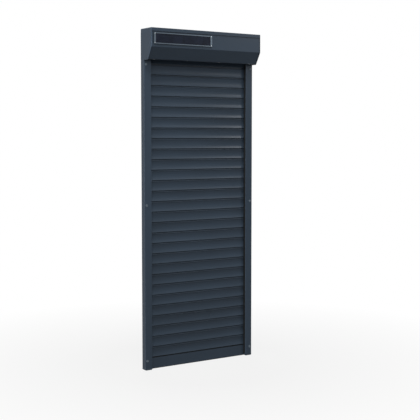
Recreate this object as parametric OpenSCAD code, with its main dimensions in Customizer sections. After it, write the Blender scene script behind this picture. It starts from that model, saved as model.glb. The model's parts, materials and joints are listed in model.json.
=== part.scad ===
// Exterior roller shutter: a slatted curtain in two side rails, wound up by a tube motor in a chamfered box.
// X runs across the window, +Y points into the wall and +Z up.
// The origin lies on the wall face at sill height, midway between the rails.

/* [Curtain] */
// Height of a slat from seam to seam
slat_pitch = 55; // [50:1:65]
// Number of slats
slat_count = 29; // [12:1:29]
// Thickness of a slat
slat_t = 8; // [7.5:0.5:10]
// Radius of a slat's hollow front face
slat_r = 75; // [65:5:120]
// Wall of a slat
slat_wall = 1.2; // [0.8:0.1:1.5]
// Shadow gap under each slat
seam_gap = 4.5; // [2:0.5:5.5]
// Radius of the bead along the top of a slat's face
bead_r = 2.2; // [1.5:0.1:2.6]
// Distance of the bead behind the slat's front edge
bead_setback = 1; // [0:0.1:1.5]
// Radius of a slat's lower front edge
lip_r = 1.2; // [0.6:0.1:1.6]
// Radius of the bulb that hangs in the slat above
bulb_r = 1.9; // [1.5:0.1:2.1]
// Thickness of the neck under the bulb
neck_t = 1.4; // [1:0.1:2]
// Lift of a slat before it pulls on the next one
slat_slack = 4; // [2:0.5:6]
// Thickness of the lips that hold the bulb
pocket_lip = 1.2; // [0.8:0.1:2]
// Gap between interlocked slats
link_clear = 0.3; // [0.2:0.05:0.5]
// Height of the top slat that shows under the box
top_slat_show = 16; // [8:1:30]
// Gap between a slat's end and the bottom of the rail's slot
slat_end_play = 2; // [1:0.5:4]

/* [Bottom bar] */
// Height of the bar without its seal
bar_h = 57; // [45:0.5:65]
// Wall of the bar
bar_wall = 1.6; // [1.2:0.1:2.2]
// Bevel along the bar's top front edge
bar_bevel = 1.5; // [0.5:0.5:3]
// Gap between the bar and the lowest slat
bar_gap = 4; // [1.5:0.5:6]
// Thickness of the caps on the bar's ends
bar_cap_t = 3; // [2:0.5:5]
// Length of a cap's plug in the bar
bar_plug_len = 15; // [10:1:25]
// Height of the rubber seal below the bar
seal_h = 3; // [2:0.5:6]
// Width of the mouth of the seal's groove
seal_mouth_w = 4; // [3:0.5:4.5]
// Width of the head of the seal's groove
seal_head_w = 6.6; // [5.5:0.1:7]
// Height of the head of the seal's groove
seal_head_h = 2.4; // [2:0.1:4]

/* [Rails] */
// Width of a rail's front face
rail_w = 42; // [38:1:55]
// Depth of a rail in front of the curtain's slot
rail_reveal = 17; // [12:0.5:20]
// Width of the closed screw chamber along a rail's outer side
rail_chamber_w = 22; // [20:1:26]
// Wall of a rail
rail_wall = 1.5; // [1.2:0.1:2]
// Wall of a rail behind and in front of the slot
slot_wall = 2; // [1.6:0.1:2.6]
// Radius of a rail's outer corners
rail_corner_r = 1; // [0.3:0.1:1.2]
// Distance of the rails from the outer faces of the end plates
rail_inset = 0; // [0:0.5:5]
// Gap between the curtain and the walls of the slot
slot_clear = 0.95; // [0.7:0.05:1.5]
// Gap between the curtain and the rubber seals in the slot
rail_seal_clear = 0.25; // [0.15:0.05:0.4]
// Width of the rubber seals in the slot
rail_seal_w = 6; // [5:0.5:8]
// Width of the groove that holds the rear seal
groove_w = 4; // [3:0.5:4.5]
// Depth of the grooves that hold the seals
groove_d = 1; // [0.6:0.1:1.2]
// Distance of the rear seal from the slot's mouth
rear_seal_from_edge = 3; // [2:0.5:6]
// Thickness of the ribbed strip on a rail's inner side
strip_t = 2.4; // [1.8:0.1:3]
// Width of the rail's bare edge in front of the ribbed strip
bare_edge_w = 2; // [1.5:0.1:3]
// Number of grooves in the ribbed strip
rib_grooves = 4; // [2:1:5]
// Width of a rib of the strip
rib_w = 1.2; // [0.8:0.1:1.4]
// Depth of the grooves between the ribs
rib_d = 1.5; // [0.8:0.1:1.6]
// Height of the foot under a rail
foot_h = 10; // [8:1:16]
// Radius of a foot's lower corners
foot_r = 6; // [2:0.5:7]
// Height of a foot's plug inside the rail
foot_plug_h = 14; // [8:1:20]
// Radius of the wall screws' holes
wall_hole_r = 2.75; // [2:0.25:3.5]
// Radius of the access holes in a rail's front
access_hole_r = 5.5; // [4.5:0.25:6.5]
// Width of a screw cap's rim around the access hole
cap_rim = 1.1; // [0.6:0.1:2]
// Thickness of a screw cap's head
cap_t = 1.4; // [1:0.1:2]
// Length of a screw cap's plug
cap_plug_len = 5; // [3:0.5:8]
// Distance of the screw holes from a rail's outer side
hole_from_side = 12.5; // [10:0.5:13.5]
// Height of the lowest screw holes
hole_low_z = 49; // [35:1:120]
// Height of the middle screw holes
hole_mid_z = 870; // [500:5:1000]
// Distance of the highest screw holes below the box
hole_top_drop = 21; // [18:1:60]

/* [Box] */
// Height of the box
box_h = 160; // [150:1:190]
// Depth of the box
box_d = 108; // [100:1:140]
// Height of the box's upright front
front_h = 97; // [92:1:115]
// Depth of the box at the foot of its slope
slope_foot_d = 70; // [60:1:85]
// Width over the end plates
shutter_w = 686; // [620:1:1000]
// Thickness of the sheet
sheet_t = 1.2; // [0.8:0.1:1.8]
// Outer radius of the box's bends
bend_r = 3; // [2.5:0.5:5]
// Depth of the front cover behind the flange and the end plates
cover_step = 3; // [1.8:0.1:4]
// Height of the top shell's front flange
flange_h = 17.5; // [12:0.5:22]
// Height of the front cover that lies behind the flange
cover_overlap = 6; // [4:1:9]
// Width of the front cover's lower lip
cover_lip = 12; // [9:1:16]
// Height of the floor's upturned rear edge
floor_hem_h = 9; // [6:1:12]
// Gap between the floor and the plane of the rails' fronts
floor_gap = 1; // [0.5:0.5:4]
// Radius of the glide strip along the floor's rear edge
glide_r = 4; // [3:0.5:6]
// Thickness of an end plate
plate_t = 2.5; // [2:0.1:4]
// Width of the rim inside an end plate
rim_w = 10; // [6:1:14]
// Thickness of the rim inside an end plate
rim_t = 2; // [1.5:0.1:2.2]
// Height of the root of an end plate's rail peg
peg_root_h = 18; // [10:1:25]
// Gap around pegs and plugs in the rails
peg_clear = 0.3; // [0.1:0.05:0.5]
// Height of an entry guide above its rail
guide_h = 26; // [18:1:36]
// Length of an entry guide's plug in its rail
guide_plug_len = 15; // [10:1:17]
// Gap around screws, rivets and the bearing in their seats
seat_clear = 0.05; // [0.02:0.01:0.15]
// Radius of a rivet's head
rivet_head_r = 3.2; // [2.5:0.1:4.5]
// Height of a rivet's head
rivet_head_h = 1; // [0.6:0.1:1.6]
// Radius of a rivet's shank
rivet_r = 1.6; // [1.2:0.1:2.2]
// Radius of a cover screw
cover_screw_r = 1.8; // [1.2:0.1:2.2]
// Radius of a cover screw's head
cover_screw_head_r = 3.3; // [2.6:0.1:3.6]
// Length of a cover screw
cover_screw_len = 9; // [6:0.5:14]

/* [Roller] */
// Distance of the tube's axis from the wall
tube_from_wall = 54; // [50:1:60]
// Distance of the tube's axis below the top of the box
tube_drop = 54; // [48:1:64]
// Size of the octagonal tube across its flats
tube_af = 40; // [39.5:0.5:48]
// Wall of the tube
tube_wall = 1; // [0.6:0.1:1]
// Radius of the tube motor
motor_r = 17.5; // [15:0.5:17.5]
// Length of the tube motor
motor_len = 430; // [350:5:440]
// Radius of the motor's head
head_r = 24; // [20:0.5:28]
// Length of the motor's head
head_len = 18; // [12:1:24]
// Side of the square stub that holds the motor's head
stub_w = 12; // [8:0.5:16]
// Thickness of the motor bracket
bracket_t = 6; // [4:0.5:9]
// Radius of the motor bracket and the bearing holder
bracket_r = 30; // [26:1:34]
// Radius of the motor's output shaft
shaft_r = 5; // [3:0.5:7]
// Depth of the output shaft in the motor
shaft_depth = 12; // [8:1:20]
// Length of the motor's crown and of its drive wheel
wheel_len = 14; // [8:1:20]
// Running gap of turning pieces
run_clear = 0.06; // [0.02:0.01:0.1]
// Gap between the tube's inside and its plugs
plug_clear = 0.1; // [0.05:0.05:0.3]
// Length of the idler plug in the tube
idler_len = 40; // [25:1:60]
// Thickness of the flange on the idler plug
idler_flange_t = 3; // [2:0.5:5]
// Radius of the idler pin
idler_pin_r = 6; // [4:0.5:8]
// Length of the idler pin
idler_pin_len = 16; // [14:1:20]
// Outer radius of the idler bearing
bearing_r = 14; // [11:0.5:18]
// Width of the idler bearing
bearing_w = 8; // [6:0.5:10]
// Gap between turning pieces and the fixed pieces beside them
side_gap = 1; // [0.5:0.5:3]
// Width of a hanger strip
hanger_w = 30; // [20:1:40]
// Thickness of a hanger strip
hanger_t = 1; // [0.6:0.1:1.5]
// Distance between hanger strips
hanger_step = 200; // [150:5:230]

/* [Solar supply] */
// Length of the solar panel
panel_w = 354; // [280:1:420]
// Height of the solar panel
panel_h = 56; // [45:1:62]
// Thickness of the panel's frame
panel_t = 5; // [4:0.5:8]
// Width of the frame at the panel's ends
panel_end_w = 10.5; // [6:0.5:20]
// Width of the frame along the panel's top and bottom
panel_edge_w = 4.5; // [4:0.5:8]
// Thickness of the frame's front lip
panel_lip_t = 1.5; // [1:0.1:2]
// Overlap of the lip on the cells
panel_lip_w = 2; // [1:0.5:3]
// Distance of the panel from the box's left side
panel_from_side = 15.5; // [6:0.5:60]
// Distance of the panel below the top of the box
panel_drop = 25; // [20:1:30]
// Radius of the battery tube
battery_r = 12; // [9:0.5:13]
// Length of the battery tube
battery_len = 280; // [200:5:300]
// Distance of the battery from the rim of the right end plate
battery_from_rim = 12; // [5:1:40]
// Distance of the battery's axis behind the box's front
battery_from_front = 20; // [18:0.5:24]
// Thickness of a battery clip
clip_t = 2; // [1.5:0.1:3]
// Width of a battery clip
clip_w = 14; // [8:1:20]
// Gap between the battery and its clips
clip_clear = 0.2; // [0.1:0.05:0.4]

/* [Hidden] */
$fn = 128;
eps = 0.01;
anthracite = "#3b444b";
dark_plastic = "#1c1f22";
rubber = "#101214";
zinc = "#a9adb0";
slat_names = [for (k = [1:slat_count]) str("slat_", k < 10 ? "0" : "", k)];

// Slat profile, in Y and Z from the slat's lower seam
pocket_r = bulb_r + link_clear;
pocket_lo = pocket_lip + pocket_r;
pocket_hi = pocket_lo + slat_slack;
pocket_top = pocket_hi + pocket_r;
face_h = slat_pitch - seam_gap - 2 * bead_r;
face_half = face_h / 2;
slat_back_y = -(slot_wall + slot_clear);
arc_y = slat_back_y - slat_t - slat_r;
slat_front_y = arc_y + sqrt(slat_r * slat_r - face_half * face_half);
bead_y = slat_front_y + bead_setback + bead_r;
// The round lower edge touches the hollow front face and the slat's underside
lip_y = arc_y + sqrt((slat_r + lip_r) * (slat_r + lip_r) - (face_half - lip_r) * (face_half - lip_r));
lip_top = face_half - slat_r * (face_half - lip_r) / (slat_r + lip_r);
// The pocket lies halfway between the two faces at the middle of its own height
pocket_mid = (pocket_lo + pocket_hi) / 2;
function face_y(r, z) = arc_y + sqrt(r * r - (z - face_half) * (z - face_half));
neck_y = (face_y(slat_r, pocket_mid) + face_y(slat_r + slat_t, pocket_mid)) / 2;

// Heights
bar_top = seal_h + bar_h;
bar_line = bar_top + bar_gap;
function slat_z(k) = bar_line + (slat_count - k) * slat_pitch;
box_z = slat_z(1) + top_slat_show;
box_top = box_z + box_h;
fold_z = box_top - front_h;

// Rails
slot_front = slot_wall + 2 * slot_clear + slat_back_y - slat_front_y;
rail_d = slot_front + rail_reveal;
rail_out = shutter_w / 2 - rail_inset;
rail_in = rail_out - rail_w;
slot_x = rail_out - rail_chamber_w;
hole_x = rail_out - hole_from_side;
hole_zs = [hole_low_z, hole_mid_z, box_z - hole_top_drop];
rail_seal_t = slot_clear - rail_seal_clear;
rear_seal_x = rail_in + rear_seal_from_edge;
strip_y = -rail_d + bare_edge_w;
strip_w = rail_reveal - bare_edge_w;
rib_gap = (strip_w - (rib_grooves + 1) * rib_w) / rib_grooves;
cap_r = access_hole_r + cap_rim;
peg_len = hole_top_drop - cap_r - 1;

// Bottom bar
slat_half = slot_x - slat_end_play;
bar_half = slat_half - bar_cap_t;
bar_front_y = slat_front_y;
bar_back_y = slat_back_y - bar_wall;
bar_mid_y = (bar_front_y + bar_back_y) / 2;
seal_head_z = seal_h + bar_wall;
bar_chamber_z = seal_head_z + seal_head_h + bar_wall;

// Box
plate_x = shutter_w / 2 - plate_t;
slope_len = norm([box_d - slope_foot_d, fold_z - box_z]);
slope_ny = (fold_z - box_z) / slope_len;
slope_nz = (box_d - slope_foot_d) / slope_len;
cover_in = cover_step + sheet_t;
floor_z = box_z + cover_in;
floor_back_y = -(rail_d + floor_gap);
floor_front_y = box_outline(cover_in)[3].x + bend_r;
cover_screw_y = -(slope_foot_d - cover_lip / 2 - sheet_t);
rivet_x = plate_x - rim_w / 2;
rivet_ys = [-box_d * 0.3, -box_d * 0.7];
rivet_hole_r = rivet_r + seat_clear;

// Roller
tube_y = -tube_from_wall;
tube_z = box_top - tube_drop;
head_x = -plate_x + bracket_t;
motor_x = head_x + head_len;
tube_x0 = motor_x + side_gap;
shaft_x = motor_x + motor_len;
idler_x = plate_x - bearing_w - 2 * side_gap - idler_flange_t - idler_pin_len / 2;
pin_x = idler_x + idler_flange_t;
bearing_x = pin_x + side_gap + idler_pin_len / 2 - bearing_w / 2;
bulb_top_z = slat_z(1) + slat_pitch + pocket_hi;
clip_r = pocket_r + hanger_t;

// Solar supply
cover_y = -box_d + cover_step;
panel_x = -shutter_w / 2 + panel_from_side;
panel_z = box_top - panel_drop - panel_h;
battery_y = -box_d + battery_from_front;
battery_z = box_top - sheet_t - clip_t - clip_clear - battery_r;
battery_x = plate_x - rim_w - battery_from_rim - battery_len;

// Sweeps an outline drawn in Y and Z along X
module along_x(x, len) {
    translate([x, 0, 0]) rotate([90, 0, 90]) linear_extrude(len) children();
}

// Round bar along X about an axis in Y and Z
module rod(x, len, y, z, r) {
    along_x(x, len) translate([y, z]) circle(r = r);
}

// A piece and its mirror image on the other side
module both_sides() {
    children();
    mirror([1, 0, 0]) children();
}

// Part of the slat's curved band, inside its faces by inset, between two heights
module slat_band(inset, z0, z1) {
    intersection() {
        translate([arc_y, face_half]) difference() {
            circle(r = slat_r + slat_t - inset);
            circle(r = slat_r + inset);
        }
        translate([arc_y + slat_r / 2, z0]) square([slat_r, z1 - z0]);
    }
}

// Neck and bulb that hang in the pocket above a seam
module hook(base_z, seam_z) {
    translate([neck_y - neck_t / 2, base_z]) square([neck_t, seam_z + pocket_hi - base_z]);
    translate([neck_y, seam_z + pocket_hi]) circle(r = bulb_r);
}

// Pocket that takes the bulb of the slat below, open downwards
module pocket() {
    mouth_w = neck_t + 2 * link_clear;
    translate([neck_y - mouth_w / 2, -1]) square([mouth_w, pocket_lo + 1]);
    translate([neck_y - pocket_r, pocket_lo]) square([2 * pocket_r, slat_slack]);
    for (z = [pocket_lo, pocket_hi]) translate([neck_y, z]) circle(r = pocket_r);
}

// Whole band with its lower front edge made round
module slat_body() {
    difference() {
        slat_band(0, 0, face_h);
        translate([slat_front_y - 1, -1]) square([lip_y - slat_front_y + 1, lip_top + 1]);
    }
    translate([lip_y, lip_r]) circle(r = lip_r);
}

module slat_profile() {
    web_z = (pocket_top + face_h) / 2;
    difference() {
        union() {
            slat_body();
            translate([bead_y, face_h + bead_r]) circle(r = bead_r);
            translate([bead_y, face_h - slat_wall]) square([neck_y - bead_y, slat_wall + bead_r]);
            hook(face_h - slat_wall, slat_pitch);
        }
        slat_band(slat_wall, pocket_top + slat_wall, web_z - slat_wall / 2);
        slat_band(slat_wall, web_z + slat_wall / 2, face_h - slat_wall);
        pocket();
    }
}

module slat(k) {
    color(anthracite)
        translate([0, 0, slat_z(k)]) along_x(-slat_half, 2 * slat_half) slat_profile();
}

module bar_outline() {
    polygon([
        [bar_front_y, seal_h], [bar_back_y, seal_h], [bar_back_y, bar_top],
        [bar_front_y + bar_bevel, bar_top], [bar_front_y, bar_top - bar_bevel]
    ]);
}

// Hollow of the bar, smaller by inset for the plugs that go in
module bar_chamber(inset) {
    translate([bar_front_y + bar_wall + inset, bar_chamber_z + inset])
        square([
            bar_back_y - bar_front_y - 2 * bar_wall - 2 * inset,
            bar_top - bar_bevel - bar_wall - bar_chamber_z - 2 * inset
        ]);
}

// Groove for the seal, smaller by inset for the seal itself
module seal_groove(inset) {
    translate([bar_mid_y - seal_mouth_w / 2 + inset, seal_h / 2])
        square([seal_mouth_w - 2 * inset, seal_head_z + seal_head_h / 2 - seal_h / 2]);
    translate([bar_mid_y - seal_head_w / 2 + inset, seal_head_z + inset])
        square([seal_head_w - 2 * inset, seal_head_h - 2 * inset]);
}

module bottom_bar() {
    color(anthracite) along_x(-bar_half, 2 * bar_half) difference() {
        union() {
            bar_outline();
            hook(bar_top - bar_wall, bar_line);
        }
        bar_chamber(0);
        seal_groove(0);
    }
}

module bar_seal() {
    lip = (bar_back_y - bar_front_y) / 2 - 1;
    color(rubber) along_x(-bar_half, 2 * bar_half) {
        polygon([
            [bar_mid_y - lip + 1, 0], [bar_mid_y + lip - 1, 0],
            [bar_mid_y + lip, seal_h], [bar_mid_y - lip, seal_h]
        ]);
        seal_groove(0.2);
    }
}

module bar_end_caps() {
    color(dark_plastic) both_sides() {
        along_x(bar_half, bar_cap_t) bar_outline();
        along_x(bar_half - bar_plug_len, bar_plug_len + eps) bar_chamber(peg_clear);
    }
}

// Closed screw chamber of a rail, smaller by inset for what goes in
module rail_chamber(inset) {
    translate([slot_x + rail_wall + inset, -rail_d + rail_wall + inset])
        square([
            rail_chamber_w - 2 * rail_wall - 2 * inset,
            rail_d - rail_wall - slot_wall - 2 * inset
        ]);
}

// Closed chamber in front of the slot, smaller by inset for what goes in
module rail_front_chamber(inset) {
    translate([rail_in + strip_t + rail_wall + inset, -rail_d + rail_wall + inset])
        square([
            slot_x - rail_in - strip_t - rail_wall - 2 * inset,
            rail_d - rail_wall - slot_front - slot_wall - 2 * inset
        ]);
}

// Slot that the curtain runs in
module rail_slot() {
    translate([rail_in - 1, -slot_front])
        square([slot_x - rail_in + 1, slot_front - slot_wall]);
}

// Seal around a rail's inner front edge: a ribbed strip on its side and a lip in the slot
module edge_seal() {
    difference() {
        translate([rail_in, strip_y]) square([strip_t, strip_w]);
        for (i = [0:rib_grooves - 1])
            translate([rail_in - 1, strip_y + rib_w + i * (rib_w + rib_gap)]) square([rib_d + 1, rib_gap]);
    }
    translate([rail_in, -slot_front - groove_d]) square([rail_seal_w, groove_d + rail_seal_t]);
}

// Foot of the seal in the slot's rear wall
module rear_seal_foot() {
    translate([rear_seal_x + (rail_seal_w - groove_w) / 2, -slot_wall]) square([groove_w, groove_d]);
}

module rear_seal() {
    rear_seal_foot();
    translate([rear_seal_x, -slot_wall - rail_seal_t]) square([rail_seal_w, rail_seal_t]);
}

// What is cut from a rail for its seals
module seal_beds() {
    translate([rail_in - 1, strip_y]) square([strip_t + 1, strip_w]);
    translate([rail_in - 1, -slot_front - groove_d]) square([rail_seal_w + 1, groove_d]);
    rear_seal_foot();
}

module rail_outline() {
    inner = [rail_w - 2 * rail_corner_r, rail_d - 2 * rail_corner_r];
    translate([rail_in + rail_corner_r, -rail_d]) square([inner.x, rail_d]);
    translate([rail_in, -rail_d + rail_corner_r]) square([rail_w, inner.y]);
    for (x = [0, inner.x], y = [0, inner.y])
        translate([rail_in + rail_corner_r + x, -rail_d + rail_corner_r + y]) circle(r = rail_corner_r);
}

// Right-hand rail with its wall screw holes and their access holes
module rail() {
    difference() {
        translate([0, 0, foot_h]) linear_extrude(box_z - foot_h) difference() {
            rail_outline();
            rail_chamber(0);
            rail_front_chamber(0);
            rail_slot();
            seal_beds();
        }
        for (z = hole_zs) translate([hole_x, 0, z]) rotate([90, 0, 0]) {
            translate([0, 0, -1]) cylinder(r = wall_hole_r, h = slot_wall + 2);
            translate([0, 0, rail_d - rail_wall - 1]) cylinder(r = access_hole_r, h = rail_wall + 2);
        }
    }
}

module right_rail() {
    color(anthracite) rail();
}

module left_rail() {
    color(anthracite) mirror([1, 0, 0]) rail();
}

module rail_seals() {
    color(rubber) both_sides()
        translate([0, 0, foot_h]) linear_extrude(box_z - foot_h) {
            edge_seal();
            rear_seal();
        }
}

module foot_outline() {
    translate([rail_in, foot_r]) square([rail_w, foot_h - foot_r]);
    intersection() {
        translate([rail_in, 0]) square([rail_w, foot_h]);
        union() {
            translate([rail_in + foot_r, 0]) square([rail_w - 2 * foot_r, foot_h]);
            for (x = [rail_in + foot_r, rail_out - foot_r]) translate([x, foot_r]) circle(r = foot_r);
        }
    }
}

module rail_feet() {
    color(dark_plastic) both_sides() {
        difference() {
            rotate([90, 0, 0]) linear_extrude(rail_d) foot_outline();
            translate([0, 0, -1]) linear_extrude(foot_h + 2) rail_slot();
        }
        translate([0, 0, foot_h - eps]) linear_extrude(foot_plug_h + eps) rail_chamber(peg_clear);
    }
}

// Snap-in caps over the access holes, each with a shallow dimple
module rail_screw_caps() {
    dimple_r = cap_r / 3;
    color(anthracite) both_sides()
        for (z = hole_zs) translate([hole_x, -rail_d, z]) rotate([90, 0, 0]) difference() {
            union() {
                cylinder(r = cap_r, h = cap_t);
                translate([0, 0, -cap_plug_len])
                    cylinder(r = access_hole_r - peg_clear, h = cap_plug_len + eps);
            }
            translate([0, 0, cap_t / 2]) cylinder(r = dimple_r, h = cap_t);
        }
}

// Corners of the box's outline, in Y and Z, all sides moved inwards by inset
function box_outline(inset) = [
    [-inset, box_top - inset],
    [-box_d + inset, box_top - inset],
    [-box_d + inset, box_z + (inset + slope_ny * (box_d - slope_foot_d - inset)) / slope_nz],
    [-slope_foot_d + inset * (1 - slope_nz) / slope_ny, box_z + inset],
    [-inset, box_z + inset]
];

// Box's outline with every corner but the lower rear one bent round
module box_shape(inset, r) {
    centres = box_outline(inset + r);
    polygon(centres);
    translate([-inset - r, box_z + inset]) square(r);
    for (i = [0:4]) {
        from = centres[i];
        to = centres[(i + 1) % 5];
        side = r * [to.y - from.y, from.x - to.x] / norm(to - from);
        polygon([from, from + side, to + side, to]);
        if (i < 4) translate(from) circle(r = r);
    }
}

// Bent sheet along the box's outline, from inset inwards
module box_wall(inset, t) {
    difference() {
        box_shape(inset, bend_r);
        box_shape(inset + t, bend_r - t);
    }
}

// Window in Y and Z that keeps part of an outline
module keep(y0, y1, z0, z1) {
    translate([y0, z0]) square([y1 - y0, z1 - z0]);
}

module box_rear_shell() {
    color(anthracite) difference() {
        along_x(-plate_x, 2 * plate_x) intersection() {
            box_wall(0, sheet_t);
            union() {
                keep(-box_d, 0, box_top - flange_h, box_top);
                keep(-sheet_t, 0, box_z, box_top);
            }
        }
        for (s = [-1, 1], y = rivet_ys)
            translate([s * rivet_x, y, box_top - 2 * sheet_t]) cylinder(r = rivet_hole_r, h = 3 * sheet_t);
    }
}

module box_front_cover() {
    color(anthracite) difference() {
        along_x(-plate_x, 2 * plate_x) intersection() {
            box_wall(cover_step, sheet_t);
            keep(-box_d, -(slope_foot_d - cover_lip), box_z, box_top - flange_h + cover_overlap);
        }
        cover_screw_holes();
    }
}

module cover_screw_places() {
    for (s = [-1, 1], x = [rail_in / 3, rail_in])
        translate([s * x, cover_screw_y, box_z + cover_step]) children();
}

module cover_screw_holes() {
    cover_screw_places() translate([0, 0, -sheet_t])
        cylinder(r = cover_screw_r + seat_clear, h = 4 * sheet_t);
}

module box_floor() {
    color(anthracite) difference() {
        along_x(-plate_x, 2 * plate_x) {
            keep(floor_front_y, floor_back_y, floor_z, floor_z + sheet_t);
            keep(floor_back_y - sheet_t, floor_back_y, floor_z, floor_z + floor_hem_h);
        }
        cover_screw_holes();
    }
}

module cover_screws() {
    color(zinc) cover_screw_places() {
        cylinder(r = cover_screw_r, h = cover_screw_len);
        translate([0, 0, -sheet_t]) cylinder(r = cover_screw_head_r, h = sheet_t);
    }
}

module shell_rivets() {
    color(anthracite) for (s = [-1, 1], y = rivet_ys) translate([s * rivet_x, y, box_top]) {
        cylinder(r = rivet_head_r, h = rivet_head_h);
        translate([0, 0, -sheet_t - rim_t]) cylinder(r = rivet_r, h = sheet_t + rim_t + eps);
    }
}

// Right-hand end plate: cheek, inner rim under the sheets and peg in the rail
module end_plate() {
    inner_y = slot_front - sheet_t;
    difference() {
        union() {
            along_x(plate_x, plate_t) box_shape(0, bend_r);
            along_x(plate_x - rim_w, rim_w + eps) intersection() {
                box_wall(sheet_t, rim_t);
                keep(-box_d + cover_in + sheet_t, -inner_y, box_top - sheet_t - rim_t, box_top);
            }
            along_x(plate_x - rim_w, rim_w + eps) intersection() {
                box_wall(cover_in, rim_t);
                keep(-box_d, -slope_foot_d, floor_z + floor_hem_h, box_top - flange_h);
            }
            translate([0, 0, box_z - peg_len]) linear_extrude(peg_len + eps) rail_chamber(peg_clear);
            translate([0, 0, box_z]) linear_extrude(peg_root_h) {
                rail_chamber(peg_clear);
                translate([plate_x - 2 * rail_wall, -rail_d + rail_wall + peg_clear])
                    square([2 * rail_wall + eps, rail_d - rail_wall - slot_wall - 2 * peg_clear]);
            }
        }
        for (y = rivet_ys) translate([rivet_x, y, box_top - 3 * rim_t])
            cylinder(r = rivet_hole_r, h = 4 * rim_t);
    }
}

module right_end_plate() {
    color(anthracite) end_plate();
}

module left_end_plate() {
    color(anthracite) mirror([1, 0, 0]) end_plate();
}

// Horns on top of the rails that lead the slats into the slots
module entry_guides() {
    depth = rail_d - slot_front - peg_clear;
    horn_r = depth - slot_wall;
    color(dark_plastic) both_sides() {
        along_x(rail_in + peg_clear, slot_x - rail_in - peg_clear) difference() {
            keep(-rail_d, -rail_d + depth, box_z, box_z + guide_h);
            difference() {
                keep(-rail_d + slot_wall, 0, box_z + guide_h - horn_r, box_z + guide_h + 1);
                translate([-rail_d + slot_wall, box_z + guide_h - horn_r]) circle(r = horn_r);
            }
        }
        translate([0, 0, box_z - guide_plug_len]) linear_extrude(guide_plug_len + eps)
            rail_front_chamber(peg_clear);
    }
}

// Plastic strip clipped over the floor's rear edge
module slot_glide() {
    hem_top = floor_z + floor_hem_h;
    color(dark_plastic) along_x(-rail_in + side_gap, 2 * (rail_in - side_gap)) difference() {
        translate([floor_back_y - sheet_t / 2, hem_top]) circle(r = glide_r);
        keep(floor_back_y - sheet_t, floor_back_y, hem_top - glide_r - 1, hem_top);
    }
}

module octagon(af) {
    rotate(22.5) circle(r = af / 2 / cos(22.5), $fn = 8);
}

// Octagonal plug about the tube's axis
module octagon_rod(x, len, af) {
    along_x(x, len) translate([tube_y, tube_z]) octagon(af);
}

tube_bore_af = tube_af - 2 * tube_wall;
plug_af = tube_bore_af - 2 * plug_clear;

module roller_tube() {
    color(zinc) along_x(tube_x0, idler_x - tube_x0) translate([tube_y, tube_z]) difference() {
        octagon(tube_af);
        octagon(tube_bore_af);
    }
}

module motor_crown() {
    color(dark_plastic) difference() {
        octagon_rod(tube_x0, wheel_len, plug_af);
        rod(tube_x0 - 1, wheel_len + 2, tube_y, tube_z, motor_r + run_clear);
    }
}

module drive_wheel() {
    color(dark_plastic) {
        octagon_rod(shaft_x + side_gap, wheel_len, plug_af);
        rod(shaft_x - shaft_depth + side_gap, shaft_depth + eps, tube_y, tube_z, shaft_r);
    }
}

module motor_body() {
    color(zinc) difference() {
        rod(motor_x, motor_len, tube_y, tube_z, motor_r);
        rod(shaft_x - shaft_depth, shaft_depth + 1, tube_y, tube_z, shaft_r + run_clear);
    }
}

module stub(inset) {
    w = stub_w - 2 * inset;
    translate([tube_y - w / 2, tube_z - w / 2]) square(w);
}

module motor_head() {
    color(dark_plastic) {
        rod(head_x, head_len, tube_y, tube_z, head_r);
        along_x(head_x - bracket_t, bracket_t + eps) stub(plug_clear);
    }
}

module motor_bracket() {
    color(zinc) along_x(-plate_x, bracket_t) difference() {
        translate([tube_y, tube_z]) circle(r = bracket_r);
        stub(0);
    }
}

module idler_plug() {
    color(dark_plastic) {
        octagon_rod(idler_x - idler_len, idler_len + eps, plug_af);
        rod(idler_x, idler_flange_t, tube_y, tube_z, tube_af / 2);
        rod(pin_x - eps, idler_pin_len, tube_y, tube_z, idler_pin_r);
    }
}

module idler_bearing() {
    color(zinc) along_x(bearing_x, bearing_w) translate([tube_y, tube_z]) difference() {
        circle(r = bearing_r);
        circle(r = idler_pin_r + run_clear);
    }
}

module bearing_holder() {
    color(dark_plastic) difference() {
        rod(bearing_x, plate_x - bearing_x, tube_y, tube_z, bracket_r);
        rod(bearing_x - 1, bearing_w + 1, tube_y, tube_z, bearing_r + seat_clear);
        rod(bearing_x, plate_x - bearing_x - side_gap, tube_y, tube_z, (idler_pin_r + bearing_r) / 2);
    }
}

// Spring strips from the tube's rear flat down to clips on the top slat's bulb
module hanger_strips() {
    top_y = tube_y + tube_af / 2 + link_clear;
    bend_z = tube_z - tube_af / 5;
    run = norm([neck_y - top_y, bulb_top_z + pocket_r - bend_z]);
    side = hanger_t / run * [bend_z - bulb_top_z - pocket_r, neck_y - top_y];
    foot = [neck_y, bulb_top_z + pocket_r + hanger_t / 2];
    color(zinc) for (s = [-1, 0, 1]) along_x(s * hanger_step - hanger_w / 2, hanger_w) {
        keep(top_y, top_y + hanger_t, bend_z, tube_z + tube_af / 5);
        polygon([[top_y, bend_z], foot - side / 2, foot + side / 2, [top_y + hanger_t, bend_z]]);
        difference() {
            translate([neck_y, bulb_top_z]) circle(r = clip_r);
            translate([neck_y, bulb_top_z]) circle(r = pocket_r);
            translate([neck_y - neck_t / 2 - link_clear, bulb_top_z - clip_r - 1])
                square([neck_t + 2 * link_clear, clip_r + 1]);
        }
    }
}

// Picture frame along X, in X and Z, from the panel's outside inwards
module panel_outline(end_w, edge_w) {
    translate([panel_x + end_w, panel_z + edge_w])
        square([panel_w - 2 * end_w, panel_h - 2 * edge_w]);
}

module towards_front(y, t) {
    translate([0, y, 0]) rotate([90, 0, 0]) linear_extrude(t) children();
}

module solar_frame() {
    color("#6d7880") difference() {
        towards_front(cover_y, panel_t) panel_outline(0, 0);
        towards_front(cover_y + 1, panel_t + 2) panel_outline(panel_end_w, panel_edge_w);
        towards_front(cover_y + 1, panel_t + 1 - panel_lip_t)
            panel_outline(panel_end_w - panel_lip_w, panel_edge_w - panel_lip_w);
    }
}

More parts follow.
